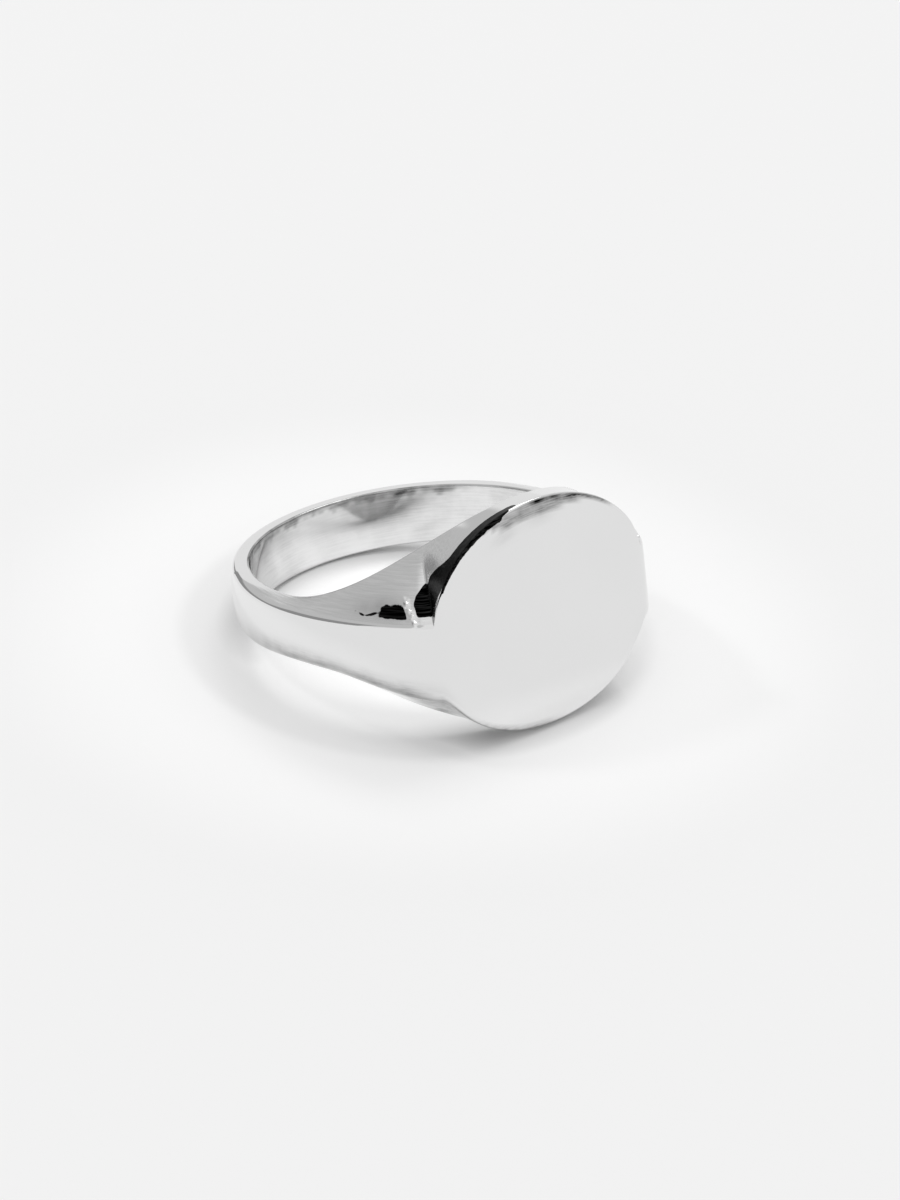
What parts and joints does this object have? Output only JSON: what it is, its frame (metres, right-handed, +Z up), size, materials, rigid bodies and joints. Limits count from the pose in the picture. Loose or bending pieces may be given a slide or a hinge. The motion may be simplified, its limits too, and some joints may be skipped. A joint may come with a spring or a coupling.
{
  "type": "signet ring",
  "caption": "Plain polished silver signet ring with a flat oval table, bevelled shoulders and a slim shank, lying on its side.",
  "frame": {"origin": "centre of the finger hole, on its axis, halfway along it", "axes": "the ring as it rests on a level surface: +X runs across the table to the right of someone who faces it, -Y is the side the table faces, leaning back so that it looks slightly up, +Z is up and close to the finger hole's axis"},
  "size_m": [0.0206, 0.0216, 0.0124],
  "materials": {
    "polished_silver": "sterling silver, mirror polished on the table and shoulders, a softer polish inside the finger hole",
    "silver_solder": "hard silver solder, filed flush and polished"
  },
  "bodies": {
    "root": {"table": "polished_silver", "head": "polished_silver", "left_shoulder": "polished_silver", "right_shoulder": "polished_silver", "shank": "polished_silver", "table_solder": "silver_solder", "left_head_solder": "silver_solder", "right_head_solder": "silver_solder", "left_shank_solder": "silver_solder", "right_shank_solder": "silver_solder"}
  },
  "joints": []
}
